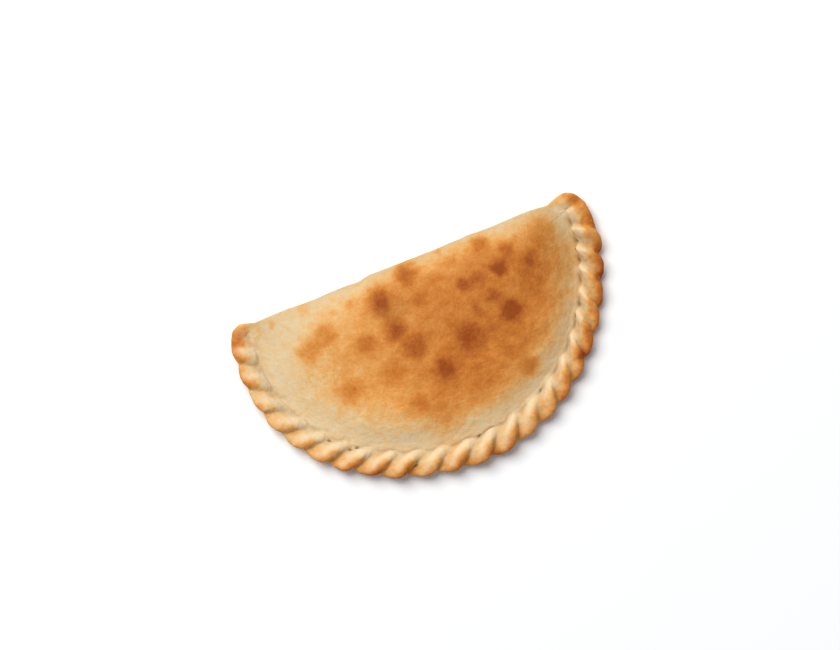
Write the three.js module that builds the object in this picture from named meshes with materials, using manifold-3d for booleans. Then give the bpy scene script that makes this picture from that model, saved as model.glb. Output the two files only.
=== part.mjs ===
// A baked calzone: a disc of dough folded over its filling into a half-moon pillow.
// The fold lies along +Y, the rope crimp that seals the edge runs round the -Y side,
// and the part rests on its flat underside. Millimetres, +Z up.

import * as THREE from 'three';
import { mergeVertices } from 'three/addons/utils/BufferGeometryUtils.js';
import Module from 'manifold-3d';

const wasm = await Module();
wasm.setup();

// ---- Driving dimensions ----

const pillow = {
  height: 42,            // crown above the underside
  crownX: -4,            // where the crown stands, seen from above
  crownY: 25,
  foldY: 69.5,           // outer edge of the fold
  waveSize: 0.7,         // the fold is not quite straight: it wavers by this much,
  waveLengths: [57, 145], // in a long and a short wave beaten together
  ridgeY: 8,             // behind this line the top rounds off towards the fold
  foldPower: 2.6,        // over 2 keeps the top fuller behind the ridge
  foldEdge: 16,          // height at which the fold bulges furthest out
  cornerEdge: 8,         // the same height at the two corners,
  cornerFrom: 55,        // reached from this far along to the end of the fold
  cornerTo: 112,
  seamEdge: 6,           // and along the crimped edge,
  seamTo: 10,            // which ends this far back
  foldTuck: 9,           // how far the fold curves in before it meets the underside
  seamTuck: 2.5,         // and the same for the crimped edge
  tuckBlend: 14,         // the two meet over this distance short of the fold
  crownPower: 2.6,       // over 2 flattens the crown
  seamSlope: 1.15,       // over 1 hollows the fall towards the crimp
};

const crimp = {
  // each half of the outer edge is part of a superellipse
  left: { reach: 124.2, depth: 110.8, centreY: 40, power: 2 },
  right: { reach: 123.2, depth: 120.8, centreY: 50, power: 1.9 },
  startRise: 17,         // the crimp starts this far above the left centre
  endRise: 10,           // and ends this far above the right one
  width: 16,             // across the rope
  lobes: 23,
  crowding: 0.014,       // the lobes are pushed along by up to this share of the rope,
  crowdingFrom: 0.36,    // from this share of the rope on
  coreRadius: 5.4,       // dough under the lobes
  coreHeight: 4.6,
  lobeRadius: [7.1, 6.3, 6], // half the thickness of a lobe: left, middle, right
  lobeLength: 25,
  lobeBluntness: 2.7,    // over 2 squares the ends of a lobe
  lean: [50, 32, 30],    // degrees between a lobe and the edge: left, middle, right
  innerHeight: 6.4,      // heights of a lobe's centre line at its inner end,
  ridgeHeight: 8.4,      // over the rope
  outerHeight: 4.8,      // and at its outer end
  ridgeReach: 0.35,      // the ridge takes up this share of the lobe
  fullest: 0.56,         // where along its length a lobe is thickest
  blendHalf: 40,         // the two halves of the edge blend over this distance from the middle
};

// The pinched knob at each end of the fold, round which the rope begins and ends.
const corner = {
  round: 13,             // size of the rounded corner of the pillow
  knobLength: 11,
  knobReach: 2.6,        // how far the knob stands out past the rope's middle line
  knobBack: 4.6,         // from the fold's outer edge in to the knob's middle line
  thickness: 6.2,
  height: 8.4,
};

// How much each lobe may differ from the next: its lean, length, height and thickness.
const unevenness = { lean: 3, reach: 0.8, height: 0.5, radius: 0.3 };

// Everything below the table top is cut away, which leaves the flat underside.
const table = { width: 400, depth: 300, thickness: 40 };

// How finely each surface is divided.
const detail = {
  outline: 104,
  rings: 13,
  tuckRings: 3,
  lobeRings: 9,
  lobeSides: 10,
  coreSteps: 60,
  coreSides: 6,
};

// ---- Small helpers ----

const mix = THREE.MathUtils.lerp;
const smooth = THREE.MathUtils.smoothstep;

// A repeatable number from -1 to 1, so that no two lobes are quite alike.
function uneven(index, salt) {
  const value = Math.sin(index * 12.9898 + salt * 78.233) * 43758.5453;
  return (value - Math.floor(value)) * 2 - 1;
}

// Three values at the left end, the middle and the right end of the crimp, blended.
function along(values, u) {
  const [left, middle, right] = values;
  return u < 0.5 ? mix(left, middle, smooth(u * 2, 0, 1)) : mix(middle, right, smooth(u * 2 - 1, 0, 1));
}

function toSolid(geometry) {
  const bare = geometry.clone();
  bare.deleteAttribute('normal');
  bare.deleteAttribute('uv');
  const merged = mergeVertices(bare, 1e-4);
  return new wasm.Manifold(new wasm.Mesh({
    numProp: 3,
    vertProperties: new Float32Array(merged.attributes.position.array),
    triVerts: new Uint32Array(merged.index.array),
  }));
}

function toGeometry(solid) {
  const mesh = solid.getMesh();
  const geometry = new THREE.BufferGeometry();
  geometry.setAttribute('position', new THREE.BufferAttribute(new Float32Array(mesh.vertProperties), 3));
  geometry.setIndex(new THREE.BufferAttribute(new Uint32Array(mesh.triVerts), 1));
  geometry.computeVertexNormals();
  return geometry;
}

// Closes a stack of rings, each with the same number of points, by a point at each end.
// The rings run from the first point to the last and turn so that the faces look out.
function closedRings(first, rings, last) {
  const sides = rings[0].length;
  const points = [first, ...rings.flat(), last];
  const index = [];
  const at = (ring, side) => 1 + ring * sides + (side % sides);
  for (let side = 0; side < sides; side += 1) {
    index.push(0, at(0, side), at(0, side + 1));
    for (let ring = 0; ring < rings.length - 1; ring += 1) {
      index.push(at(ring, side), at(ring + 1, side), at(ring + 1, side + 1));
      index.push(at(ring, side), at(ring + 1, side + 1), at(ring, side + 1));
    }
    index.push(points.length - 1, at(rings.length - 1, side + 1), at(rings.length - 1, side));
  }
  const geometry = new THREE.BufferGeometry().setFromPoints(points);
  geometry.setIndex(index);
  return geometry;
}

// ---- The crimped edge, seen from above ----

// The rounded edge from the left corner, round the front, to the right corner. The inset
// moves the curve in from the outer edge.
class EdgeCurve extends THREE.Curve {
  constructor(inset) {
    super();
    this.inset = inset;
    this.start = -Math.asin(crimp.startRise / crimp.left.depth);
    this.end = Math.PI + Math.asin(crimp.endRise / crimp.right.depth);
  }

  getPoint(t, target = new THREE.Vector3()) {
    const angle = mix(this.start, this.end, t);
    const half = angle < Math.PI / 2 ? crimp.left : crimp.right;
    const bend = (value) => Math.sign(value) * Math.abs(value) ** (2 / half.power);
    const x = -(half.reach - this.inset) * bend(Math.cos(angle));
    const y = half.centreY - (half.depth - this.inset) * bend(Math.sin(angle));
    return target.set(x, y, 0);
  }
}

const ropeLine = new EdgeCurve(crimp.width / 2);

// ---- The pillow ----

// The outline runs under the middle of the rope, then back along the fold, with round corners.
function pillowOutline() {
  const leftEnd = ropeLine.getPoint(0);
  const rightEnd = ropeLine.getPoint(1);
  const leftFold = new THREE.Vector3(leftEnd.x + corner.round, pillow.foldY, 0);
  const rightFold = new THREE.Vector3(rightEnd.x - corner.round, pillow.foldY, 0);
  const cornerOf = (end) => new THREE.Vector3(end.x, pillow.foldY, 0);
  const path = new THREE.CurvePath();
  path.add(ropeLine);
  path.add(new THREE.QuadraticBezierCurve3(rightEnd, cornerOf(rightEnd), rightFold));
  path.add(new THREE.LineCurve3(rightFold, leftFold));
  path.add(new THREE.QuadraticBezierCurve3(leftFold, cornerOf(leftEnd), leftEnd));
  return path.getSpacedPoints(detail.outline).slice(0, detail.outline);
}

// Height of the outermost bulge of the side near a place on the plan.
function edgeHeight(x, y) {
  const cornerShare = smooth(Math.abs(x), pillow.cornerFrom, pillow.cornerTo);
  const fold = mix(pillow.foldEdge, pillow.cornerEdge, cornerShare);
  return mix(pillow.seamEdge, fold, smooth(y, pillow.seamTo, pillow.foldY));
}

// How full the pillow is at a place on the plan, from 0 at its outline to about 1: a dome over
// the whole disc of dough, rounded off behind the ridge where the disc is folded.
function fullness(x, y) {
  const share = smooth(x, -crimp.blendHalf, crimp.blendHalf);
  const inset = crimp.width / 2;
  const reach = mix(crimp.left.reach, crimp.right.reach, share) - inset;
  const depth = mix(crimp.left.depth, crimp.right.depth, share) - inset;
  const centreY = mix(crimp.left.centreY, crimp.right.centreY, share);
  const power = mix(crimp.left.power, crimp.right.power, share);
  const round = Math.abs(x / reach) ** power + Math.abs((y - centreY) / depth) ** power;
  const dome = Math.max(0, 1 - round ** (pillow.crownPower / power)) ** pillow.seamSlope;
  const behind = Math.max(0, (y - pillow.ridgeY) / (pillow.foldY - pillow.ridgeY));
  return dome * Math.sqrt(Math.max(0, 1 - behind ** pillow.foldPower));
}

const crown = new THREE.Vector3(pillow.crownX, pillow.crownY, 0);
const crownFullness = fullness(crown.x, crown.y);

function pillowHeight(x, y) {
  const edge = edgeHeight(x, y);
  return edge + (pillow.height - edge) * Math.min(1, fullness(x, y) / crownFullness);
}

function foldWave(x) {
  const [short, long] = pillow.waveLengths;
  return pillow.waveSize * Math.sin((2 * Math.PI * x) / short) * Math.cos((2 * Math.PI * x) / long);
}

// Rings of points spread from the crown to the outline, then under the side to the base.
function pillowGeometry() {
  const topRings = Array.from({ length: detail.rings }, () => []);
  const sideRings = Array.from({ length: detail.tuckRings }, () => []);
  pillowOutline().forEach((point) => {
    const foldShare = smooth(point.y, pillow.foldY - pillow.tuckBlend, pillow.foldY);
    const edge = point.clone().setY(point.y + foldShare * foldWave(point.x));
    for (let ring = 1; ring <= detail.rings; ring += 1) {
      const share = Math.sin((ring / detail.rings) * (Math.PI / 2));
      const plain = crown.clone().lerp(point, share);
      const place = crown.clone().lerp(edge, share);
      topRings[ring - 1].push(place.setZ(pillowHeight(plain.x, plain.y)));
    }
    const side = pillowHeight(point.x, point.y);
    const tuck = mix(pillow.seamTuck, pillow.foldTuck, foldShare) / edge.distanceTo(crown);
    for (let ring = 1; ring <= detail.tuckRings; ring += 1) {
      const turn = (ring / detail.tuckRings) * (Math.PI / 2);
      const place = crown.clone().lerp(edge, 1 - tuck * (1 - Math.cos(turn)));
      sideRings[ring - 1].push(place.setZ(side * (1 - Math.sin(turn))));
    }
  });
  const top = crown.clone().setZ(pillow.height);
  return closedRings(top, [...topRings, ...sideRings], crown.clone());
}

// ---- The rope crimp ----

// A rounded bar of dough swept along a curve, thickest at the given share of its length.
function barGeometry(curve, radius, fullest) {
  const rings = [];
  const up = new THREE.Vector3(0, 0, 1);
  for (let ring = 1; ring <= detail.lobeRings; ring += 1) {
    const t = (1 - Math.cos((ring / (detail.lobeRings + 1)) * Math.PI)) / 2;
    const skewed = t ** (Math.log(0.5) / Math.log(fullest));
    const size = radius * Math.sqrt(1 - Math.abs(2 * skewed - 1) ** crimp.lobeBluntness);
    const centre = curve.getPoint(t);
    const forward = curve.getTangent(t);
    const side = new THREE.Vector3().crossVectors(forward, up).normalize();
    const over = new THREE.Vector3().crossVectors(side, forward).normalize();
    const points = [];
    for (let step = 0; step < detail.lobeSides; step += 1) {
      const angle = (step / detail.lobeSides) * Math.PI * 2;
      const offset = side.clone().multiplyScalar(Math.cos(angle) * size);
      points.push(centre.clone().add(offset).addScaledVector(over, Math.sin(angle) * size));
    }
    rings.push(points);
  }
  return closedRings(curve.getPoint(0), rings, curve.getPoint(1));
}

// One lobe crosses the rope at a slant, from the seam inside to the edge outside.
function lobeGeometry(index) {
  const even = (index + 0.5) / crimp.lobes;
  const pushed = Math.max(0, even - crimp.crowdingFrom) / (1 - crimp.crowdingFrom);
  const u = even + crimp.crowding * Math.sin(Math.PI * pushed);
  const middle = ropeLine.getPointAt(u);
  const forward = ropeLine.getTangentAt(u);
  const lean = THREE.MathUtils.degToRad(along(crimp.lean, u) + uneven(index, 1) * unevenness.lean);
  const inward = forward.clone().applyAxisAngle(new THREE.Vector3(0, 0, 1), lean);
  const reach = crimp.lobeLength / 2 + uneven(index, 2) * unevenness.reach;
  const ridge = reach * crimp.ridgeReach;
  const place = (distance, height) => middle.clone().addScaledVector(inward, distance).setZ(height);
  const curve = new THREE.CatmullRomCurve3([
    place(reach, crimp.innerHeight),
    place(ridge, crimp.ridgeHeight + uneven(index, 3) * unevenness.height),
    place(-ridge, crimp.ridgeHeight),
    place(-reach, crimp.outerHeight),
  ]);
  const radius = along(crimp.lobeRadius, u) + uneven(index, 4) * unevenness.radius;
  return barGeometry(curve, radius, crimp.fullest);
}

// The dough that runs on under the lobes, from corner to corner.
function coreGeometry() {
  const section = new THREE.Shape().absarc(0, 0, crimp.coreRadius, 0, Math.PI * 2, false);
  const middle = ropeLine.getSpacedPoints(crimp.lobes).map((point) => point.setZ(crimp.coreHeight));
  const extrudePath = new THREE.CatmullRomCurve3(middle);
  const { coreSteps: steps, coreSides: curveSegments } = detail;
  return new THREE.ExtrudeGeometry(section, { steps, curveSegments, extrudePath });
}

// A pinched knob of dough closes each end of the crimp at the corner of the fold: -1 is the
// left one and 1 the right one.
function knobGeometry(side) {
  const end = ropeLine.getPoint(side < 0 ? 0 : 1);
  const back = pillow.foldY - corner.knobBack;
  const start = new THREE.Vector3(end.x - side * corner.knobLength, back, corner.height);
  const bend = new THREE.Vector3(end.x + side, back, corner.height + 1);
  const finish = new THREE.Vector3(end.x + side * corner.knobReach, end.y - 2, corner.height - 2);
  return barGeometry(new THREE.QuadraticBezierCurve3(start, bend, finish), corner.thickness, 0.5);
}

// ---- The whole calzone ----

function calzoneGeometry() {
  const pieces = [coreGeometry(), knobGeometry(-1), knobGeometry(1)];
  for (let index = 0; index < crimp.lobes; index += 1) {
    pieces.push(lobeGeometry(index));
  }
  let whole = toSolid(pillowGeometry());
  pieces.forEach((piece) => {
    whole = whole.add(toSolid(piece));
  });
  const below = new THREE.BoxGeometry(table.width, table.depth, table.thickness);
  below.translate(0, 0, -table.thickness / 2);
  const geometry = toGeometry(whole.subtract(toSolid(below)));
  geometry.computeBoundingBox();
  const middle = geometry.boundingBox.getCenter(new THREE.Vector3());
  geometry.translate(-middle.x, -middle.y, -geometry.boundingBox.min.z);
  return geometry;
}

const crust = new THREE.MeshStandardMaterial({ color: 0xd9a25f, roughness: 0.72, metalness: 0 });
const calzone = new THREE.Mesh(calzoneGeometry(), crust);
calzone.name = 'calzone';

const part = new THREE.Group();
part.add(calzone);

export default part;
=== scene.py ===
import math

import bpy
import numpy as np
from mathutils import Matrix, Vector, noise


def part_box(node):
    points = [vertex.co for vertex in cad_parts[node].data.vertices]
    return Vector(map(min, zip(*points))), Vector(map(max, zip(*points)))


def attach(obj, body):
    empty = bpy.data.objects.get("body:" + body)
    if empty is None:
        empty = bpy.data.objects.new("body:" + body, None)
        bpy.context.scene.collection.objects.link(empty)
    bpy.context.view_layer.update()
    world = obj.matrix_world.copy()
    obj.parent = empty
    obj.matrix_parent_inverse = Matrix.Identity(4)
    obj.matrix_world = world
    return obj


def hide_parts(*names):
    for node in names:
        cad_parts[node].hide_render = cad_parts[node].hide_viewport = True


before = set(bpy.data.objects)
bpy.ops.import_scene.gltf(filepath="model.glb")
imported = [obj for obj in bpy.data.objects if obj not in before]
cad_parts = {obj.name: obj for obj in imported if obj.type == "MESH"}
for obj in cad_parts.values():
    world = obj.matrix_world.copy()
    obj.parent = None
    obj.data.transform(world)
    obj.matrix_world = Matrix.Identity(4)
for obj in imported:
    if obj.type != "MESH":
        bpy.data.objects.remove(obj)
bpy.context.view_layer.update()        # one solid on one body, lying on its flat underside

mm = 0.001
low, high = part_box("calzone")
length, width, height = [side / mm for side in high - low]
print("frame loaded: calzone", round(length), "x", round(width), "x", round(height), "mm")

# The dough is shaped in millimetres and scaled to metres when its mesh is made.
# It is one skin, swept in rings from the crown out over the pillow, the seam and the rope crimp,
# down the side and back in under the dough. The rope's rings have a point in every column, the
# pillow's in every other one and those underneath in every fourth.


def smooth(value, start, end):
    share = np.clip((value - start) / (end - start), 0, 1)
    return share * share * (3 - 2 * share)


def mix(a, b, share):
    return a + (b - a) * share


def keyed(position, keys):
    # straight lines between a few (position, value) pairs
    return np.interp(position, [key[0] for key in keys], [key[1] for key in keys])


scatter = {"number": 12.9898, "salt": 78.233, "spread": 43758.5453}     # any odd factors would do


def uneven(number, salt):
    # a repeatable number from -1 to 1 for each whole number
    value = np.sin(np.asarray(number) * scatter["number"] + salt * scatter["salt"]) * scatter["spread"]
    return (value - np.floor(value)) * 2 - 1


def lumps(points, size, octaves=3, seed=0.0):
    # soft noise, about -1 to 1, with lumps of the given size in millimetres;
    # each further octave is half as large and half as high
    place = (points.reshape(-1, 3) / size + seed).tolist()
    return np.array([noise.fractal(p, 1.0, 2.0, octaves) for p in place]).reshape(points.shape[:-1])


# the outline seen from above: two part ellipses for the rim, two round corners and the fold

outline = {
    "leftReach": 0.491 * length,     # from the middle to the rim's widest place on each side
    "rightReach": 0.4965 * length,
    "leftCentre": 0.262 * width,     # Y of the left ellipse's middle
    "rightCentre": 0.36 * width,
    "lowest": -0.510 * width,        # Y of the rim's front
    "sidesMeet": (-40, 40),          # the left half blends into the right one between these X
    "rimEnd": 0.385 * width,         # Y where the rim gives way to the corners
    "cornerX": 0.474 * length,       # the round corners bend towards this place
    "cornerY": 0.492 * width,
    "foldX": 0.406 * length,         # half the straight length of the fold
    "foldY": 0.449 * width,
    "foldRise": 0.8,                 # the fold climbs a little towards the left corner,
    "riseOver": (50, 100),           # between these distances from the middle
    "foldDips": [(-60, 9, 0.6), (-30, 5, 0.9), (60, 9, 0.8), (100, 9, 1.3)],    # X, reach and depth
    # from the outline to the seam line, by share of the rim
    "seamInset": [(0, 14.8), (0.3, 15.2), (0.45, 15.2), (0.7, 13.8), (1, 13.2)],
    "foldInset": (14, 8),            # from the fold to the seam line, in the middle and at the corners
    "insetFrom": 50,                 # the first holds up to here from the middle
    "rimPoints": 1500,               # points on each half of the rim's curve
    "cornerPoints": 200,
    "ropeColumns": 920,              # these two have to add up to a multiple of four
    "foldColumns": 160,
}


def rimHalf(reach, centre):
    depth = centre - outline["lowest"]
    first = -math.asin((outline["rimEnd"] - centre) / depth)
    angle = np.linspace(first, math.pi / 2, outline["rimPoints"])
    return np.stack([reach * np.cos(angle), centre - depth * np.sin(angle)], -1)


def foldLine(x):
    line = outline["foldY"] + outline["foldRise"] * smooth(-x, *outline["riseOver"])
    for place, reach, depth in outline["foldDips"]:
        line = line - depth * np.exp(-((x - place) / reach) ** 2)
    return line


def roundCorner(start, bend, end, shares):
    share = shares[:, None]
    return (1 - share) ** 2 * start + 2 * share * (1 - share) * bend + share ** 2 * end


def outerCorner(start, end, side):
    bend = np.array([side * outline["cornerX"], outline["cornerY"]])
    return roundCorner(start, bend, end, np.linspace(0, 1, outline["cornerPoints"]))


def runAlong(points):
    return np.concatenate([[0], np.cumsum(np.linalg.norm(np.diff(points, axis=0), axis=1))])


def resample(points, run, places):
    return np.stack([np.interp(places, run, points[:, axis]) for axis in (0, 1)], -1)


leftHalf = rimHalf(-outline["leftReach"], outline["leftCentre"])
rightHalf = rimHalf(outline["rightReach"], outline["rightCentre"])
rimCurve = np.concatenate([leftHalf, rightHalf[::-1][1:]])
rimRun = runAlong(rimCurve)
rimLength = rimRun[-1]
leftFold = np.array([-outline["foldX"], foldLine(-outline["foldX"])])
rightFold = np.array([outline["foldX"], foldLine(outline["foldX"])])
leftCorner = outerCorner(leftFold, rimCurve[0], -1)
rightCorner = outerCorner(rimCurve[-1], rightFold, 1)
cornerLength = runAlong(leftCorner)[-1]
outerCurve = np.concatenate([leftCorner[:-1], rimCurve, rightCorner[1:]])
outerRun = runAlong(outerCurve) - cornerLength       # 0 where the rim starts on the left

# column places: along the corners and the rim, then back along the fold
along = np.linspace(outerRun[0], outerRun[-1], outline["ropeColumns"])
foldX = np.linspace(outline["foldX"], -outline["foldX"], outline["foldColumns"] + 2)[1:-1]
outer = np.concatenate([resample(outerCurve, outerRun, along), np.stack([foldX, foldLine(foldX)], -1)])
columns = len(outer)

tangent = np.gradient(rimCurve, axis=0)
tangent /= np.linalg.norm(tangent, axis=1)[:, None]
inwards = np.stack([-tangent[:, 1], tangent[:, 0]], -1)
seamCurve = rimCurve + inwards * keyed(rimRun / rimLength, outline["seamInset"])[:, None]


def foldInset(x):
    return mix(*outline["foldInset"], smooth(np.abs(x), outline["insetFrom"], outline["foldX"]))


def innerCorner(rimPlace, x, shares):
    # the inner edge of the rope rounds the corner well inside the outer edge
    end = np.array([x, foldLine(x) - foldInset(x)])
    return roundCorner(rimPlace, np.array([rimPlace[0], end[1]]), end, shares)


def seamPlaces():
    # the inner edge of the rope, column by column
    places = resample(seamCurve, rimRun, np.clip(along, 0, rimLength))
    left, right = along < 0, along > rimLength
    places[left] = innerCorner(seamCurve[0], -outline["foldX"], -along[left] / cornerLength)
    shares = (along[right] - rimLength) / (outerRun[-1] - rimLength)
    places[right] = innerCorner(seamCurve[-1], outline["foldX"], shares)
    onFold = np.stack([foldX, foldLine(foldX) - foldInset(foldX)], -1)
    return np.concatenate([places, onFold])


inner = seamPlaces()
ropeWidth = outline["seamInset"][0][1]
print("outline: rim", round(rimLength), "mm,", columns, "columns")

# the pillow of filled dough

pillow = {
    "crown": (-4, 25),       # X and Y of the highest place
    "crownDrop": 1,          # the crown's depth below the top, before the dough's unevenness
    "ridgeY": 8,             # behind this the top rounds off towards the fold
    "foldPower": 2.8,        # higher rounds it off later and more steeply
    "foldEdge": 16,          # height of the side's bulge at the fold,
    "cornerEdge": 8,         # at its corners
    "seamEdge": 5.5,         # and along the crimp
    "cornersOver": (55, 112),    # the bulge changes between these distances from the middle
    "foldFrom": 10,          # and from this Y to the fold
    "foldTuck": 9,           # how far the side curves in to the underside
    "domeInset": 15,         # from the outline to the foot of the dome
    "domePower": (2.3, 3.0),     # on the left and the right: higher for a flatter top and steeper sides
    "powerOver": (0, 90),
    "seamSlope": 1.15,       # higher makes the dome rise more gently from the seam
    "pucker": 0.4,           # the lobes pull the pillow into small folds beside the seam
    "puckerReach": 7,
    "puckerFrom": 2,
    "scallopFade": 20,       # higher keeps the seam's waves nearer the seam
    "rings": 64,
    "crowding": 0.75,        # under 1 sets the rings closer towards the seam
    "underRings": 12,
}


def edgeHeight(x, y):
    fold = mix(pillow["foldEdge"], pillow["cornerEdge"], smooth(np.abs(x), *pillow["cornersOver"]))
    return mix(pillow["seamEdge"], fold, smooth(y, pillow["foldFrom"], outline["foldY"]))


def discRadius(x, y):
    # 0 at the middle of the round of dough and 1 along the seam
    inset = pillow["domeInset"]
    centre = mix(outline["leftCentre"], outline["rightCentre"], smooth(x, *outline["sidesMeet"]))
    aside = x / (outline["leftReach"] - inset)
    down = (y - centre) / (centre - outline["lowest"] - inset)
    return np.sqrt(aside ** 2 + down ** 2)


def fullness(x, y):
    # a dome over the whole disc of dough, rounded off where the disc is folded
    power = mix(*pillow["domePower"], smooth(x, *pillow["powerOver"]))
    dome = np.maximum(0, 1 - discRadius(x, y) ** power) ** pillow["seamSlope"]
    behind = np.maximum(0, (y - pillow["ridgeY"]) / (foldLine(x) - pillow["ridgeY"]))
    return dome * np.sqrt(np.maximum(0, 1 - behind ** pillow["foldPower"]))


crown = np.array(pillow["crown"], float)
crownHeight = height - pillow["crownDrop"]


def pillowHeight(x, y):
    edge = edgeHeight(x, y)
    return edge + (crownHeight - edge) * np.minimum(1, fullness(x, y) / fullness(*crown))


# the rope crimp: lobes that run slantwise over a round edge

crimp = {
    "lobes": 23,
    "firstCrease": -8,       # along the rim, with 0 at its left end
    "drift": 2.3,            # the lobes wander by this much along the rim
    "driftFrom": 62,
    "driftOver": 255,
    # how far a crease runs along the rim as it crosses the rope, by share of the rim
    "slant": [(0, 6), (0.03, 9), (0.1, 14), (0.22, 19), (0.62, 18.5), (0.78, 24), (0.88, 20),
              (0.95, 13), (1, 6)],
    # how far the creases stray along the rim, and about a sixth of the wave's length
    "wobble": [(0.25, 21), (0.2, 7.3)],
    "crossWobble": (0.02, 5),    # and across it, as a share of the rope's width
    "lobeFrom": 0.06,        # a lobe starts here between two creases, and ends at the second
    "crest": 0.6,            # where the crest lies between the two, as a share
    # at the outer edge the crests lie further back on the right-hand side, by lobe
    "outerCrest": [(0, 0.6), (10, 0.66), (12, 0.56), (14, 0.5), (16, 0.36), (23, 0.28)],
    "crestTurns": 0.4,       # from this far across the rope inwards they lie at the place above
    "lobeSize": [(-1, 1), (0, 0.7), (4, 0.8), (5, 1), (8, 1.1), (15, 1.15), (21, 1.15), (22, 0.5),
                 (23, 0.8)],
    # lower makes the lobes fuller and the creases sharper, by lobe
    "plump": [(0, 0.62), (11, 0.66), (14, 0.9), (18, 1.0), (23, 0.8)],
    # creases that are partly filled at the outer edge, by lobe
    "filled": [(-0.5, 0), (-0.2, 0.5), (0.1, 0.5), (0.4, 0), (21.6, 0), (21.9, 0.5), (22.1, 0.5),
               (22.4, 0.1), (22.9, 0.4), (23.1, 0.4), (23.4, 0)],
    "filledReach": (0.2, 0.55),
    "innerEnd": (0.6, 1.12),     # the lobes narrow to a round end across the rope,
    "mostNarrow": 0.98,      # as far as this share of the way there
    # how far the crests rise above the creases, by share of the way from the outer side to the seam
    "swell": [(-0.2, 0.9), (0, 2.2), (0.25, 3.9), (0.5, 3.8), (0.7, 3.1), (0.88, 2.1), (1, 0)],
    "variety": 0.14,         # in the lobes' size
    "salt": 3,
    "overhang": 1.3,         # how far a lobe's crest leans over the next crease
    "scallop": 1.5,          # the seam winds round the lobes' inner ends,
    "scallopAt": 0.9,        # as wide as they are at this share of the way across the rope
    "top": 10,               # height of the creases along the rope's middle
    "widest": 6.5,           # height at which the rope is widest
    "flat": 2.5,             # over 2 makes the section boxier than round
    "setBack": 0.5,          # the creases lie this far inside the outline
    "tuck": 6.5,             # how far the rope curves in to the underside
    "lobesUnder": -0.6,      # the lobes stay as they are from this turn on, in radians,
    "swellUnder": -0.3,      # and swell no further downwards from this one
    "swayLength": 150,       # the rim sways in and out a little along its length
    "sway": 0.7,
    "swayPeak": 84,
    "capLength": 26,         # the last lobe at each end wraps round the corner
    "capPower": 0.75,        # under 1 sets its crest nearer the rim
    "capFade": (12, 31),
    "cornerSwell": 0.8,      # near the corners the rope is less full,
    "cornerOver": (-4, 10),      # from here to there beyond the rim's ends,
    "cornerReach": (0.15, 0.7),  # and flattens between these shares of the way to the seam
    "topRings": 32,          # rings from the seam over the top, and down the side
    "sideRings": 12,
}


def lobeNumber(s, across):
    # counts the lobes from the left: whole numbers lie on the creases
    inWander = np.clip((s - crimp["driftFrom"]) / crimp["driftOver"], 0, 1)
    drift = -crimp["drift"] * np.sin(2 * math.pi * inWander)
    slanted = s - drift - keyed(s / rimLength, crimp["slant"]) * across
    return (slanted - crimp["firstCrease"]) / (rimLength - crimp["firstCrease"]) * crimp["lobes"]


pitch = (rimLength - crimp["firstCrease"]) / crimp["lobes"]


def crestPlace(number, across):
    outerEnd = keyed(np.floor(number), crimp["outerCrest"])
    return mix(outerEnd, crimp["crest"], smooth(across, 0, crimp["crestTurns"]))


def lobeRelief(number, across):
    # 0 in the creases and 1 on the crests; the lobes at both ends fade into the fold
    start, end = crimp["innerEnd"]
    narrow = np.sqrt(1 - np.clip((across - start) / (end - start), 0, crimp["mostNarrow"]) ** 2)
    within = number % 1
    crest = crestPlace(number, across)
    rising = (crest - within) / (crest - crimp["lobeFrom"])
    falling = (within - crest) / (1 - crest)
    beside = np.clip(np.maximum(rising, falling) / narrow, 0, 1)
    hump = (0.5 + 0.5 * np.cos(math.pi * beside)) ** keyed(number, crimp["plump"])
    beyond = np.where(number < 0, -number, number - crimp["lobes"]) * pitch / crimp["capLength"]
    isCap = (number < 0) | (number >= crimp["lobes"])
    cap = 0.5 - 0.5 * np.cos(2 * math.pi * np.clip(beyond, 0, 1) ** crimp["capPower"])
    return np.where(isCap, cap, hump)


# the rings of the rope run from the seam (half a turn) over the top to the outer edge (0) and under
turn = np.concatenate([np.linspace(math.pi, 0, crimp["topRings"]),
                       np.linspace(0, -math.pi / 2, crimp["sideRings"] + 1)[1:]])
ringTurn = turn[:, None]
isFold = np.concatenate([np.zeros(len(along)), np.ones(len(foldX))])
s = np.concatenate([along, np.where(foldX > 0, outerRun[-1], outerRun[0])])[None, :]
past = np.maximum(-s, s - rimLength)         # how far beyond the rim's ends
ropeWeight = (1 - smooth(past, *crimp["capFade"])) * (1 - isFold)
grid = np.zeros((len(turn), columns))
across = np.maximum(ringTurn, crimp["lobesUnder"]) / math.pi + grid
wobble = sum(most * np.sin(s / over) for most, over in crimp["wobble"])
most, over = crimp["crossWobble"]
number = lobeNumber(s + wobble, across + most * np.sin(s / over))
relief = lobeRelief(number, across)
lobe = np.clip(np.floor(number), -1, crimp["lobes"])
phase = np.where((number < 0) | (number >= crimp["lobes"]), 0.5, number % 1)
corner = smooth(past, *crimp["cornerOver"])
swell = keyed(across, crimp["swell"]) * mix(1, 1 - smooth(across, *crimp["cornerReach"]), corner)
swell = swell * mix(1, crimp["cornerSwell"], corner)
variety = 1 + crimp["variety"] * uneven(lobe, crimp["salt"])
bulge = swell * relief * keyed(lobe, crimp["lobeSize"]) * variety
filled = keyed(number, crimp["filled"]) * (1 - smooth(across, *crimp["filledReach"]))
bulge = np.hypot(bulge, swell * filled)


def superRound(value, power):
    return np.sign(value) * np.abs(value) ** (2 / power)


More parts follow.
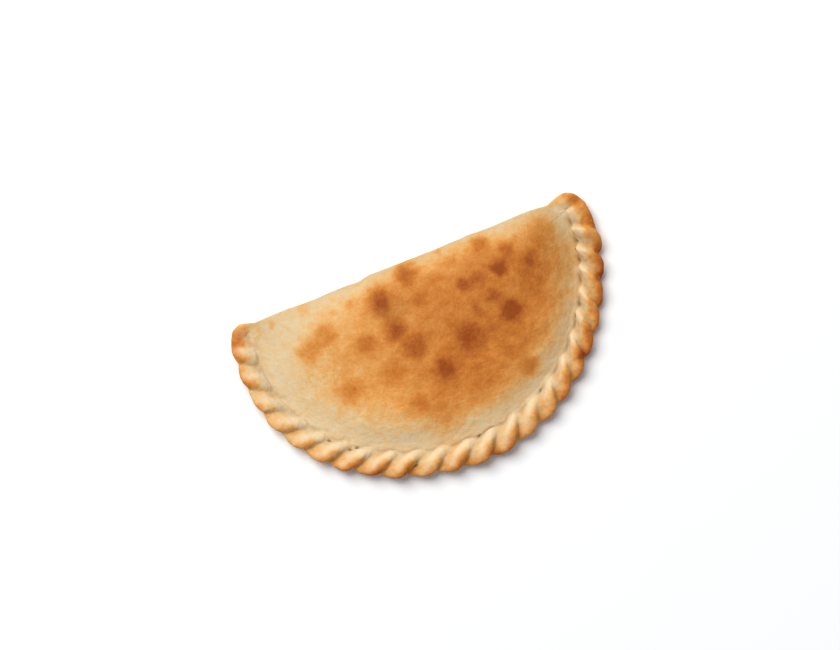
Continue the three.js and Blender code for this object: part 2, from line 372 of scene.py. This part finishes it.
def ropeRings():
    # inset from the outline as a share of the way to the seam, and height
    inset = (1 - superRound(np.cos(ringTurn), crimp["flat"])) / 2
    rise = superRound(np.sin(np.maximum(ringTurn, 0)), crimp["flat"])
    # the inner side slopes gently down to the seam
    inward = np.clip(ringTurn / (math.pi / 2) - 1, 0, 1)
    inset = np.where(inward > 0, 0.5 + 0.5 * inward, inset)
    rise = np.where(inward > 0, 0.5 + 0.5 * np.cos(math.pi * inward), rise)
    innerHeight = pillowHeight(inner[:, 0], inner[:, 1])[None, :]
    base = np.where(ringTurn > math.pi / 2, innerHeight, crimp["widest"])
    under = np.sin(np.minimum(ringTurn, 0))
    z = np.where(ringTurn < 0, crimp["widest"] * (1 + under), base + (crimp["top"] - base) * rise)
    sway = crimp["sway"] * np.cos((s - crimp["swayPeak"]) / crimp["swayLength"] * 2 * math.pi)
    inset = np.where(ringTurn < 0, crimp["tuck"] / ropeWidth * (1 - np.cos(ringTurn)), inset)
    inset = inset + (crimp["setBack"] - sway) / ropeWidth * (1 - smooth(inset, 0, 1))
    return inset, z


def foldRings():
    inset = np.where(ringTurn > 0, 1 - np.sin((math.pi - ringTurn) / 2), 0) + grid
    place = mix(outer[None], inner[None], inset[..., None])
    under = np.sin(np.minimum(ringTurn, 0))
    side = edgeHeight(outer[None, :, 0], outer[None, :, 1])
    z = np.where(ringTurn < 0, side * (1 + under), pillowHeight(place[..., 0], place[..., 1]))
    tuck = pillow["foldTuck"] / outline["foldInset"][0] * (1 - np.cos(np.minimum(ringTurn, 0)))
    return inset + tuck, z


def ropeSkin():
    onCrimp, crimpZ = ropeRings()
    onFold, foldZ = foldRings()
    inset = mix(onFold, onCrimp, ropeWeight)
    z = mix(foldZ, crimpZ, ropeWeight)
    place = mix(outer[None], inner[None], inset[..., None])
    outwards = (outer - inner) / np.linalg.norm(outer - inner, axis=1)[:, None]
    ahead = np.roll(outer, -1, axis=0) - np.roll(outer, 1, axis=0)
    ahead = ahead / np.linalg.norm(ahead, axis=1)[:, None]
    push = bulge * ropeWeight
    lean = crimp["overhang"] * relief * ropeWeight * np.clip(np.sin(ringTurn), 0, 1) * (1 - corner)
    place = place + outwards[None] * (np.cos(ringTurn) * push)[..., None] + ahead[None] * lean[..., None]
    z = z + np.sin(np.maximum(ringTurn, crimp["swellUnder"])) * push
    return np.concatenate([place, z[..., None]], -1)


skin = ropeSkin()
toCrown = crown - inner
seamRelief = lobeRelief(lobeNumber(s, crimp["scallopAt"]), crimp["scallopAt"])
scallop = crimp["scallop"] * (seamRelief * ropeWeight * (1 - corner))[0]
seamShift = toCrown / np.linalg.norm(toCrown, axis=1)[:, None] * scallop[:, None]
skin[0, :, :2] += seamShift
print("rope:", crimp["lobes"], "lobes,", skin.shape[0], "rings")

pillowShares = np.linspace(0, 1, pillow["rings"] + 1)[1:-1] ** pillow["crowding"]
fromSeam = (1 - pillowShares[:, None]) * np.linalg.norm(toCrown, axis=1)


def pillowSkin():
    # rings from the crown out to the seam, every other column
    plain = mix(crown, inner[::2], pillowShares[:, None, None])
    place = plain + seamShift[::2] * (pillowShares ** pillow["scallopFade"])[:, None, None]
    z = pillowHeight(plain[..., 0], plain[..., 1])
    fade = np.exp(-fromSeam / pillow["puckerReach"]) * smooth(fromSeam, 0, pillow["puckerFrom"])
    wave = (scallop / crimp["scallop"] - 0.5) * (ropeWeight * (1 - corner))[0]
    z = z + pillow["pucker"] * (fade * wave)[:, ::2]
    return np.concatenate([place, z[..., None]], -1)


def underSkin():
    # rings under the dough, every fourth column, from the edge in to the middle
    edge = skin[-1, ::4]
    shares = np.linspace(0, 1, pillow["underRings"] + 2)[1:-1]
    return mix(edge, edge.mean(0), shares[:, None, None])


pillowGrid = pillowSkin()
underGrid = underSkin()

# one mesh of all the rings

crownPoint = np.array([[*crown, crownHeight]])
underPoint = underGrid[-1].mean(0)[None]
parts = [crownPoint, pillowGrid.reshape(-1, 3), skin.reshape(-1, 3), underGrid.reshape(-1, 3), underPoint]
starts = np.cumsum([0] + [len(p) for p in parts])
coords = np.concatenate(parts)
isPillow = slice(starts[1], starts[2])
isRope = slice(starts[2], starts[3])


def onRope(values, elsewhere=0.0):
    # a value per point of the whole skin from one per point of the rope
    found = np.full(len(coords), float(elsewhere))
    found[isRope] = (values + grid).ravel()
    return found


def ringFaces(first, count, rings):
    faces = []
    for ring in range(rings - 1):
        base = first + ring * count
        faces += [(base + a, base + count + a, base + count + (a + 1) % count, base + (a + 1) % count)
                  for a in range(count)]
    return faces


def joinFaces(coarse, fine, count, step):
    # a ring of few points joined to a ring with step times as many outside it
    faces = []
    for a in range(count):
        b = (a + 1) % count
        edge = [fine + (a * step + k) % (count * step) for k in range(step + 1)]
        faces.append((coarse + a, *edge, coarse + b))
    return faces


half, quarter = columns // 2, columns // 4
faces = [(0, 1 + a, 1 + (a + 1) % half) for a in range(half)]
faces += ringFaces(starts[1], half, len(pillowGrid))
faces += joinFaces(starts[2] - half, starts[2], half, 2)
faces += ringFaces(starts[2], columns, len(skin))
faces += [tuple(reversed(face)) for face in joinFaces(starts[3], starts[3] - columns, quarter, 4)]
faces += ringFaces(starts[3], quarter, len(underGrid))
last = starts[4] - quarter
faces += [(starts[4], last + (a + 1) % quarter, last + a) for a in range(quarter)]


def makeMesh(name, points):
    made = bpy.data.meshes.new(name)
    made.from_pydata((points * mm).tolist(), [], [tuple(int(v) for v in face) for face in faces])
    made.polygons.foreach_set("use_smooth", np.ones(len(made.polygons), bool))
    made.update()
    return made


def normalsOf(points):
    made = makeMesh("draft", points)
    found = np.empty(len(points) * 3, np.float32)
    made.vertices.foreach_get("normal", found)
    bpy.data.meshes.remove(made)
    return found.reshape(-1, 3)


# unevenness of the whole skin, and small holes where the rope was pinched

surface = {
    "waves": [(46, 0.9), (16, 0.32)],        # size and height of the dough's unevenness
    "wavesSeed": 3.7,
    "ropeWaves": [(9, 0.45), (3.2, 0.2), (1.7, 0.06)],
    "ropeWavesSeed": 9.1,
    "ropeWavesOnPillow": 0.35,       # as a share of their height on the rope
    "octaves": 2,
    # the holes, by crease and share of the way to the seam
    "pits": [(5, 0.82), (6, 0.78), (6.1, 0.93), (9, 0.42), (11, 0.97), (14, 0.96), (18, 0.92),
             (20, 0.93), (21, 0.9)],
    "pitRadius": 0.65,
    "pitStretch": 0.55,      # under 1 makes them longer along the rim
    "pitDepth": 0.9,
    "flatBelow": (0.3, 4),   # the unevenness fades out between these heights
}

weight = onRope(ropeWeight)
offset = np.zeros(len(coords))
for size, rise in surface["waves"]:
    offset += rise * lumps(coords, size, surface["octaves"], surface["wavesSeed"]) * (1 - weight)
for size, rise in surface["ropeWaves"]:
    lump = lumps(coords, size, surface["octaves"], surface["ropeWavesSeed"])
    offset += rise * lump * mix(surface["ropeWavesOnPillow"], 1, weight)
pits = np.zeros_like(number)
for creaseLine, share in surface["pits"]:
    beside = (number - creaseLine) * pitch * surface["pitStretch"]
    off = (across - share) * ropeWidth
    pits = np.maximum(pits, np.exp(-(beside ** 2 + off ** 2) / surface["pitRadius"] ** 2))
pits = onRope(pits)
normals = normalsOf(coords)
aboveFlat = smooth(coords[:, 2], *surface["flatBelow"])
coords += normals * ((offset - surface["pitDepth"] * pits) * aboveFlat)[:, None]
coords[:, 2] = np.maximum(coords[:, 2], 0)
middle = (coords.min(0) + coords.max(0)) / 2
coords[:, :2] -= middle[:2]
coords[:, 2] *= height / coords[:, 2].max()

mesh = makeMesh("calzoneDough", coords)
print("skin:", len(coords), "points,", sum(len(face) - 2 for face in faces), "triangles")

# how the oven browned it: 0 is pale dough, 1 is charred; the dough's painted light and shade are set here
# too

oven = {
    "middle": (12, 14),      # the browned field on the crown
    "reachLeft": 108,
    "reachRight": (88, 102),     # in front and at the back,
    "rightOver": (2, 22),        # from here to there behind the middle
    "reachBack": 52.5,
    "reachFront": (67, 61),      # on the left and on the right,
    "frontOver": (-60, 10),      # from here to there beside the middle
    "power": (1.45, 2.8),        # in front and at the back: nearer 1 cuts the field's corners more
    "powerOver": (-15, 15),
    "ragged": (26, 0.06, 2.2),   # size and reach of the waves in the field's edge, and a seed
    "edge": (0.62, 1.12),        # the field fades out between these shares of its reach
    # how brown the field is, by X
    "level": [(-80, 0.37), (-60, 0.39), (-42, 0.42), (-25, 0.50), (0, 0.56), (30, 0.60), (60, 0.60),
              (85, 0.66)],
    "patches": [(17, 0.07, 7.7), (5, 0.05, 8.8)],    # size, how much browner or paler, and a seed
    "pale": (0.02, 0.08),        # outside the field, in front and along the fold
    "paleOver": (20, 60),
    # blistered spots: X, Y, radius and how much browner
    "spots": [
        (-23, 52, 8.2, 0.42), (-22, 45, 5.5, 0.14), (-1, 61, 8, 0.52), (50, 61, 5.5, 0.34),
        (55.5, 41, 5.6, 0.47), (53, 13, 7.6, 0.5), (21, 8.5, 9, 0.3), (-1, -5, 8, 0.37),
        (-14, 16, 9, 0.32), (-20.5, 29, 7, 0.44), (-40, 27, 8, 0.24), (-33, 5, 8.5, 0.22),
        (1, 41, 5, 0.24), (30, 40, 5, 0.3), (41, 40, 5, 0.26), (46, 26, 5, 0.24),
        (33, 21, 4.5, 0.22), (64, 50, 5.5, 0.3), (76, 38, 6, 0.17), (88, 52, 11, 0.34),
        (-61, 4, 9, 0.28), (-78, 38, 8, 0.3), (-64, 44, 9, 0.26), (-24, -20, 6.5, 0.17),
        (51, -25, 7, 0.33), (41, -9, 6, 0.14), (-70, 64, 5, 0.16), (-92, 64, 3, 0.2),
        (-54, 56, 2.5, 0.14), (-41, 56, 3.5, 0.22), (25, 65, 2.5, 0.16), (29, 56, 3, 0.14),
        (-75, -7, 4, 0.06), (-57, -18, 3.5, 0.08), (68, -14, 5, 0.06), (12, -2, 22, 0.12),
        (76, 32, 15, 0.1), (36, 30, 15, 0.04), (37, 10, 10, 0.1), (72, 20, 10, 0.03),
        (-16, -33, 14, 0.1), (-12, -44, 12, 0.1), (-50, -24, 12, 0.06), (-117, 62.5, 7, 0.42),
        (-106, 66, 6, 0.14), (-120, 51, 4, 0.04), (97, 63, 9, 0.08),
        # burnt tips along the rope
        (84, -31, 3.6, 0.5), (120.5, 28, 4, 0.4), (114, 12, 4, 0.4), (121.5, 46, 4.5, 0.35),
        (118, 63, 5, 0.25), (10, -69, 4, 0.2), (-46, -58, 4, 0.15),
    ],
    "spotCore": 1.1,         # higher makes the spots smaller,
    "spotPower": 1.4,        # and this makes their edges sharper
    "spotWarp": (6, 1.8),    # size of the waves in a spot's edge, and how far they reach
    "spotSeeds": (1.3, 5.9),
    "spotFade": (-0.1, 0.3),     # the spots fade where the dough turns down, by how far up it faces
    # painted light and shade: brightness of the browned and of the pale dough, by Y, higher in front and
    # lower towards the fold
    "paintedShading": [(-50, 1.14), (-34, 1.29), (-15, 1.36), (3, 1.2), (20, 1.05), (40, 0.93), (60, 0.88)],
    "palePaintedShading": [(-50, 1.16), (-30, 1.14), (-10, 1.07), (10, 1.04), (40, 0.98), (58, 0.87), (66, 0.78)],
    "dull": (-18, 42, 12, 0.2),      # a duller patch: X, Y, radius and how much duller
    "shade": 0.19,           # painted shade: how much darker the dough is towards the seam,
    "shadeFrom": (0.76, 1),      # between these shares of the way to it,
    "shadeRight": (-10, 95),     # more and more between these X,
    "shadeFront": (40, 62),      # and less and less between these Y
    "rightPaintedLight": 0.1,        # painted light: how much brighter the browned dough is on the right
    "rightPaintedLightOver": (45, 80),
    "under": (0.5, 0.22),    # the underside's browning, and how patchy it is,
    "underPatches": (13, 4, 4.4),    # with the patches' size, octaves and seed,
    "underBelow": (0.2, 3.5),        # fading out between these heights
}

rope = {
    # how brown the dough is between the lobes, by lobe
    "pale": [(0, 0.1), (4, 0.08), (12, 0.08), (18, 0.08), (23, 0.1)],
    "golden": 0.5,           # how much browner the golden patches are
    # and as a share of that, by lobe
    "byLobe": [(-1, 0.3), (0, 0.8), (3, 0.85), (6, 1.05), (12, 1.0), (16, 0.9), (19, 0.84), (22, 0.78),
               (23, 0.35)],
    # how far beyond the crest they lie, and how far across the rope they reach, by lobe
    "goldenAt": [(0, 0.1), (8, 0.07), (13, 0.02), (17, -0.06), (23, -0.12)],
    "goldenFrom": [(0, 0.25), (12, 0.28), (15, 0.34), (19, 0.26), (23, 0.2)],
    "goldenWidth": 0.27,
    "goldenFade": 0.45,
    "variety": 0.38,         # how much the patches differ
    "salt": 8,
    "outerEnd": 0.9,         # the lobes' outer ends are golden all over
    "endAt": 0.08,
    "endWidth": 0.4,
    "endReach": (0.05, 0.45),
    # how much browner the outer side is all along, by lobe
    "edge": [(0, 0.16), (5, 0.22), (9, 0.31), (23, 0.31)],
    "edgeReach": (0.12, 0.74),
    "edgeOnGolden": 0.35,    # as a share of that where it is golden already
    "edgePaintedLight": 0.03,        # painted light: how much brighter the outer side is
    "tip": 0.4,              # some lobes have a brown tip
    "tipReach": 0.16,
    "tipAt": 0.08,
    "tipWidth": 0.2,
    "tipChance": 0.3,        # higher gives more of them, from -1 to 1
    "tipSalt": 21,
    # painted highlight on the near side of each lobe, by lobe
    "nearHighlight": [(0, 0.5), (12, 0.42), (16, 0), (23, 0)],
    "nearAt": -0.24,
    "nearWidth": 0.14,
    "nearReach": (0.15, 0.45),
    "innerFlour": 0.62,      # paler dough on the lobes' inner ends, from here to there across the rope
    "innerFrom": (0.5, 0.8),
    "innerTo": (0.88, 1),
    "browned": (0.35, 0.75),     # flour and painted highlight are gone where the dough is browner than this
    # painted shade in the creases, by lobe
    "valley": [(0, 0.06), (6, 0.2), (13, 0.28), (17, 0.45), (23, 0.5)],
    "valleyAt": 0.03,
    "valleyWidth": (0.12, 0.22),     # they widen towards the seam,
    "valleyOver": (0.35, 0.9),       # from here to there across the rope,
    "valleyFrom": (0.05, 0.3),       # and begin inside the outer edge
    # painted shade along the seam, by share of the rim
    "seam": [(0, 0.3), (0.6, 0.35), (0.85, 0.6), (1, 0.6)],
    "seamAt": 0.97,
    "seamWidth": 0.08,
    "seamSpread": 0.2,       # on the pillow's side
    "seamOnLobes": 0.6,      # how much less dark it is beside a lobe's crest
    "brightness": 0.92,
    "innerFade": (0.82, 1.0),    # the lobes' inner ends are as pale as the pillow beside them
    "mottle": (5, 0.14, 6.6),    # size and strength of the patchiness, and a seed
}


def mottling(points, size, most, seed):
    return most * lumps(points, size, seed=seed)


def fieldShare(x, y, points):
    # 1 on the browned field and 0 on the pale dough round it
    aside = x - oven["middle"][0]
    behind = y - oven["middle"][1]
    reachRight = mix(*oven["reachRight"], smooth(behind, *oven["rightOver"]))
    reachFront = mix(*oven["reachFront"], smooth(aside, *oven["frontOver"]))
    power = mix(*oven["power"], smooth(behind, *oven["powerOver"]))
    aside = np.abs(aside) / np.where(aside < 0, oven["reachLeft"], reachRight)
    behind = np.abs(behind) / np.where(behind < 0, reachFront, oven["reachBack"])
    radius = (aside ** power + behind ** power) ** (1 / power)
    return 1 - smooth(radius + mottling(points, *oven["ragged"]), *oven["edge"])


def spotShare(x, y):
    found = np.zeros(len(x))
    for spotX, spotY, size, strength in oven["spots"]:
        apart = ((x - spotX) ** 2 + (y - spotY) ** 2) / size ** 2
        found += strength * np.exp(-apart ** oven["spotPower"] * oven["spotCore"])
    return found


def brightness(x, y, field):
    # painted light and shade: brighter in front and darker towards the fold, painted shade towards the
    # seam on the right, the browned dough brighter on the right, and a darker patch
    found = mix(keyed(y, oven["palePaintedShading"]), keyed(y, oven["paintedShading"]), field)
    dullX, dullY, size, amount = oven["dull"]
    found *= 1 - amount * np.exp(-((x - dullX) ** 2 + (y - dullY) ** 2) / size ** 2)
    found *= 1 + oven["rightPaintedLight"] * smooth(x, *oven["rightPaintedLightOver"]) * field
    shade = oven["shade"] * smooth(discRadius(x, y), *oven["shadeFrom"])
    return found * (1 - shade * smooth(x, *oven["shadeRight"]) * (1 - smooth(y, *oven["shadeFront"])))


def browning(points):
    # gives the browning, the spots and the brightness, which holds painted light and shade
    x, y = [points[:, axis] + mottling(points, *oven["spotWarp"], seed)
            for axis, seed in enumerate(oven["spotSeeds"])]
    field = fieldShare(x, y, points)
    level = keyed(x, oven["level"])
    for patches in oven["patches"]:
        level = level + mottling(points, *patches)
    pale = mix(*oven["pale"], smooth(y, *oven["paleOver"]))
    return mix(pale, level, field), spotShare(x, y), brightness(x, y, field)


def near(value, place, width):
    # 1 at the place, falling softly to nought over about twice the width
    return np.exp(-((value - place) / width) ** 2)


def ropeBrowning():
    # the outer half of each lobe is golden, and browner on its far side and along the edge
    beyondCrest = phase - crestPlace(number, across)
    golden = near(beyondCrest, keyed(lobe, rope["goldenAt"]), rope["goldenWidth"])
    golden *= 1 - smooth((across - keyed(lobe, rope["goldenFrom"])) / rope["goldenFade"], 0, 1)
    outerEnd = near(beyondCrest, rope["endAt"], rope["endWidth"]) * (1 - smooth(across, *rope["endReach"]))
    golden = np.maximum(golden, rope["outerEnd"] * outerEnd)
    edge = 1 - smooth(across, *rope["edgeReach"])
    edge *= mix(1, rope["edgeOnGolden"], np.clip(golden, 0, 1))
    tip = (1 - smooth(across, 0, rope["tipReach"])) * near(beyondCrest, rope["tipAt"], rope["tipWidth"])
    tip *= np.maximum(0, uneven(lobe, rope["tipSalt"]) + rope["tipChance"])
    golden *= keyed(lobe, rope["byLobe"]) * (1 + rope["variety"] * uneven(lobe, rope["salt"]))
    found = keyed(lobe, rope["pale"]) + rope["golden"] * golden
    return found + keyed(lobe, rope["edge"]) * edge + rope["tip"] * tip


def ropeHighlightAndFlour():
    # painted highlight on the near side of each lobe, and paler dough on the lobes' inner ends
    nearSide = near(phase - crestPlace(number, across), rope["nearAt"], rope["nearWidth"])
    nearSide *= smooth(across, *rope["nearReach"])
    innerEnd = smooth(across, *rope["innerFrom"]) * (1 - smooth(across, *rope["innerTo"])) * relief
    return np.clip(keyed(lobe, rope["nearHighlight"]) * nearSide + rope["innerFlour"] * innerEnd, 0, 1)


def seamShade(place):
    # painted shade: the seam is darkened between the lobes' inner ends
    gaps = 1 - rope["seamOnLobes"] * lobeRelief(lobeNumber(s, rope["seamAt"]), rope["seamAt"])
    width = np.where(place > 1, rope["seamSpread"], rope["seamWidth"])
    return keyed(s / rimLength, rope["seam"]) * gaps * near(place, rope["seamAt"], width)


def creaseShade():
    # painted shade in the valleys between the lobes, which widen towards the seam, and along the seam
    width = mix(*rope["valleyWidth"], smooth(across, *rope["valleyOver"]))
    off = np.minimum(np.abs(phase - rope["valleyAt"]), np.abs(phase - 1 - rope["valleyAt"]))
    valley = keyed(number, rope["valley"]) * near(off, 0, width) * smooth(across, *rope["valleyFrom"])
    return (valley + seamShade(across)) * (1 - corner)


bake, spotting, paintedLightAndTone = browning(coords)
onLobes = (ropeBrowning() + grid).ravel() + mottling(coords[isRope], *rope["mottle"])
innerFade = 1 - smooth(across, *rope["innerFade"])
bake[isRope] = mix(bake[isRope], onLobes, weight[isRope] * innerFade.ravel())
bake += spotting * smooth(normals[:, 2], *oven["spotFade"])
under = 1 - smooth(coords[:, 2], *oven["underBelow"])
level, patchiness = oven["under"]
size, octaves, seed = oven["underPatches"]
bake = mix(bake, level + patchiness * lumps(coords, size, octaves, seed), under)
# flour, and painted highlight on the lobes' near sides
flourAndHighlight = onRope(ropeHighlightAndFlour() * ropeWeight) * (1 - smooth(bake, *rope["browned"]))
# painted shade in the creases, along the seam on both its sides, and in the pits
crease = np.maximum(onRope(creaseShade() * ropeWeight), pits)
besideSeam = seamShade(1 + fromSeam / ropeWidth) * (ropeWeight * (1 - corner))
crease[isPillow] = besideSeam[:, ::2].ravel()
# the rope's tone, with painted light along its outer side
ropeToneAndPaintedLight = rope["brightness"] + rope["edgePaintedLight"] * (1 - smooth(across, *rope["edgeReach"]))
paintedLightAndTone = mix(paintedLightAndTone, onRope(ropeToneAndPaintedLight, 1), weight)


def addAttribute(name, values):
    layer = mesh.attributes.new(name, "FLOAT", "POINT")
    layer.data.foreach_set("value", np.asarray(values, np.float32))


for name, values in (("bake", bake), ("flourAndHighlight", flourAndHighlight), ("crease", crease), ("pit", pits), ("paintedLightAndTone", paintedLightAndTone)):
    addAttribute(name, values)
calzone = bpy.data.objects.new("calzoneCrust", mesh)
bpy.context.scene.collection.objects.link(calzone)
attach(calzone, "root")
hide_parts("calzone")
print("browning: from", round(float(bake.min()), 2), "to", round(float(bake.max()), 2))

# the crust's material

crust = {
    # the dough's colours, by how brown it is
    "ramp": [(0.0, "e6cfa8"), (0.12, "e9c692"), (0.25, "eab674"), (0.4, "e39d52"), (0.55, "d58840"),
             (0.68, "c8762f"), (0.8, "b8672c"), (0.9, "aa5822"), (1.0, "9d4d1d")],
    "flourAndHighlight": "eedcb9",
    # colours of the painted shade in the creases, the seam and the pits
    "paintedCreaseShade": "b8a68c",
    "paintedPitShade": "7f6a50",
    # size in millimetres, how much browner or paler, and detail
    "blotches": (5, 0.16, 3),
    "speckles": (1.4, 0.13, 2),
    "flourAndHighlightPatches": (2.2, 0.35, 3),   # size of the patches of flour and painted highlight, how much lies between them, and detail
    # size in millimetres, strength and detail of the bumps
    "ripple": (3.0, 0.18, 3),
    "grain": (0.8, 0.32, 3),
    "roughness": (0.62, 0.86),       # of the brownest and of the palest dough
    "unevenRoughness": (1.2, 0.06, 2),   # size, amount and detail
    "shine": 0.06,
    "softness": 0.08,            # how much light gets under the surface
    "softColour": (1, 0.5, 0.25),    # red light goes deepest,
    "softDepth": 3,              # this many millimetres
}


def colourFrom(text):
    # the usual step from a screen's colour to the amounts of light that the shader takes
    parts = [int(text[k:k + 2], 16) / 255 for k in (0, 2, 4)]
    return tuple(p / 12.92 if p <= 0.04045 else ((p + 0.055) / 1.055) ** 2.4 for p in parts) + (1,)


def crustMaterial():
    made = bpy.data.materials.new("crust")
    made.use_nodes = True
    nodes, links = made.node_tree.nodes, made.node_tree.links
    shader = nodes["Principled BSDF"]
    place = nodes.new("ShaderNodeTexCoord").outputs["Object"]

    def attribute(name):
        node = nodes.new("ShaderNodeAttribute")
        node.attribute_name = name
        return node.outputs["Fac"]

    def noiseOf(size, detail):
        node = nodes.new("ShaderNodeTexNoise")
        node.inputs["Scale"].default_value = 1 / (size * mm)
        node.inputs["Detail"].default_value = detail
        links.new(place, node.inputs["Vector"])
        return node.outputs["Fac"]

    def calculate(operation, a, b, clamp=False):
        node = nodes.new("ShaderNodeMath")
        node.operation = operation
        node.use_clamp = clamp
        for socket, value in zip(node.inputs, (a, b)):
            if isinstance(value, (int, float)):
                socket.default_value = value
            else:
                links.new(value, socket)
        return node.outputs[0]

    def blendColours(share, a, b, kind="MIX"):
        node = nodes.new("ShaderNodeMix")
        node.data_type = "RGBA"
        node.blend_type = kind
        links.new(share, node.inputs["Factor"])
        for name, value in (("A", a), ("B", b)):
            socket = [i for i in node.inputs if i.name == name and i.type == "RGBA"][0]
            if isinstance(value, str):
                socket.default_value = colourFrom(value)
            else:
                links.new(value, socket)
        return [o for o in node.outputs if o.type == "RGBA"][0]

    def around(size, amount, detail):
        # noise centred on nought
        return calculate("MULTIPLY", calculate("SUBTRACT", noiseOf(size, detail), 0.5), 2 * amount)

    level = calculate("ADD", attribute("bake"), around(*crust["blotches"]))
    level = calculate("ADD", level, around(*crust["speckles"]), clamp=True)
    ramp = nodes.new("ShaderNodeValToRGB")
    elements = ramp.color_ramp.elements
    while len(elements) < len(crust["ramp"]):
        elements.new(0.5)
    for element, (position, colour) in zip(elements, crust["ramp"]):
        element.position = position
        element.color = colourFrom(colour)
    links.new(level, ramp.inputs["Fac"])
    # painted light and shade: the ramp's colour is scaled by the painted light and tone
    rampWithPaintedLight = nodes.new("ShaderNodeVectorMath")
    rampWithPaintedLight.operation = "SCALE"
    links.new(ramp.outputs["Color"], rampWithPaintedLight.inputs[0])
    links.new(attribute("paintedLightAndTone"), rampWithPaintedLight.inputs["Scale"])
    size, between, detail = crust["flourAndHighlightPatches"]
    patches = calculate("ADD", noiseOf(size, detail), between)
    flourAndHighlightPatches = calculate("MULTIPLY", attribute("flourAndHighlight"), patches, clamp=True)
    colour = blendColours(flourAndHighlightPatches, rampWithPaintedLight.outputs["Vector"], crust["flourAndHighlight"])
    # painted shade in the creases, along the seam and in the pits
    colour = blendColours(attribute("crease"), colour, crust["paintedCreaseShade"], "MULTIPLY")
    colour = blendColours(attribute("pit"), colour, crust["paintedPitShade"])
    links.new(colour, shader.inputs["Base Color"])

    glossy, dull = crust["roughness"]
    roughness = calculate("SUBTRACT", dull, calculate("MULTIPLY", level, dull - glossy))
    roughness = calculate("ADD", roughness, around(*crust["unevenRoughness"]))
    links.new(roughness, shader.inputs["Roughness"])
    shader.inputs["Specular IOR Level"].default_value = crust["shine"]
    shader.inputs["Subsurface Weight"].default_value = crust["softness"]
    shader.inputs["Subsurface Radius"].default_value = crust["softColour"]
    shader.inputs["Subsurface Scale"].default_value = crust["softDepth"] * mm

    bumped = None
    for size, strength, detail in (crust["ripple"], crust["grain"]):
        bump = nodes.new("ShaderNodeBump")
        bump.inputs["Strength"].default_value = strength
        bump.inputs["Distance"].default_value = size * mm
        links.new(noiseOf(size, detail), bump.inputs["Height"])
        if bumped:
            links.new(bumped, bump.inputs["Normal"])
        bumped = bump.outputs["Normal"]
    links.new(bumped, shader.inputs["Normal"])
    return made


mesh.materials.append(crustMaterial())
print("material: crust")

# floor, light and camera

view = {
    "roll": 22.5,            # degrees that the fold rises to the right in the render
    "across": 0.540,         # metres that the render spans,
    "acrossAt": 1 / 3,       # at this share of the calzone's height
    "lens": 100,
    "aside": (0.0145, -0.0228),  # where the calzone lies from the render's middle
    "floorSide": 6,
    "floorDrop": 0.0002,     # the floor lies this far below the underside
    "floorColour": (0.985, 0.98, 0.96),
    "floorRoughness": 0.9,
    "sky": 0.28,             # brightness of the even light from all round
    "skyColour": (0.9, 0.98, 1.09),
    "keyPower": 260,
    "keySize": 3.2,
    "keyTowards": (-0.26, 0.966),    # the side the key light stands on,
    "keyAside": 2.72,        # how far from the calzone, in metres,
    "keyHeight": 4.1,        # and how high
}


def makeCamera():
    roll = math.radians(view["roll"])
    right = Vector((math.cos(roll), -math.sin(roll), 0))
    up = Vector((math.sin(roll), math.cos(roll), 0))
    camera = bpy.data.cameras.new("camera")
    camera.lens = view["lens"]
    made = bpy.data.objects.new("camera", camera)
    centre = (low + high) / 2
    distance = view["across"] * camera.lens / camera.sensor_width
    aim = Vector((centre.x, centre.y, 0)) - right * view["aside"][0] - up * view["aside"][1]
    made.location = aim + Vector((0, 0, distance + height * mm * view["acrossAt"]))
    made.rotation_euler = (0, 0, -roll)
    bpy.context.scene.collection.objects.link(made)
    bpy.context.scene.camera = made


def makeFloor():
    side = view["floorSide"] / 2
    corners = [(-side, -side, 0), (side, -side, 0), (side, side, 0), (-side, side, 0)]
    sheet = bpy.data.meshes.new("floor")
    sheet.from_pydata(corners, [], [(0, 1, 2, 3)])
    made = bpy.data.objects.new("floor", sheet)
    made.location.z = -view["floorDrop"]
    paint = bpy.data.materials.new("paleFloor")
    paint.use_nodes = True
    shader = paint.node_tree.nodes["Principled BSDF"]
    shader.inputs["Base Color"].default_value = (*view["floorColour"], 1)
    shader.inputs["Roughness"].default_value = view["floorRoughness"]
    shader.inputs["Specular IOR Level"].default_value = 0
    sheet.materials.append(paint)
    bpy.context.scene.collection.objects.link(made)


def makeLights():
    world = bpy.data.worlds.new("studio")
    world.use_nodes = True
    sky = world.node_tree.nodes["Background"]
    sky.inputs["Color"].default_value = (*view["skyColour"], 1)
    sky.inputs["Strength"].default_value = view["sky"]
    bpy.context.scene.world = world
    key = bpy.data.lights.new("key", "AREA")
    key.energy = view["keyPower"]
    key.size = view["keySize"]
    made = bpy.data.objects.new("key", key)
    made.location = Vector((*view["keyTowards"], 0)) * view["keyAside"] + Vector((0, 0, view["keyHeight"]))
    made.rotation_euler = (-made.location).to_track_quat("-Z", "Y").to_euler()
    bpy.context.scene.collection.objects.link(made)


makeCamera()
makeFloor()
makeLights()
bpy.context.scene.view_settings.view_transform = "Standard"
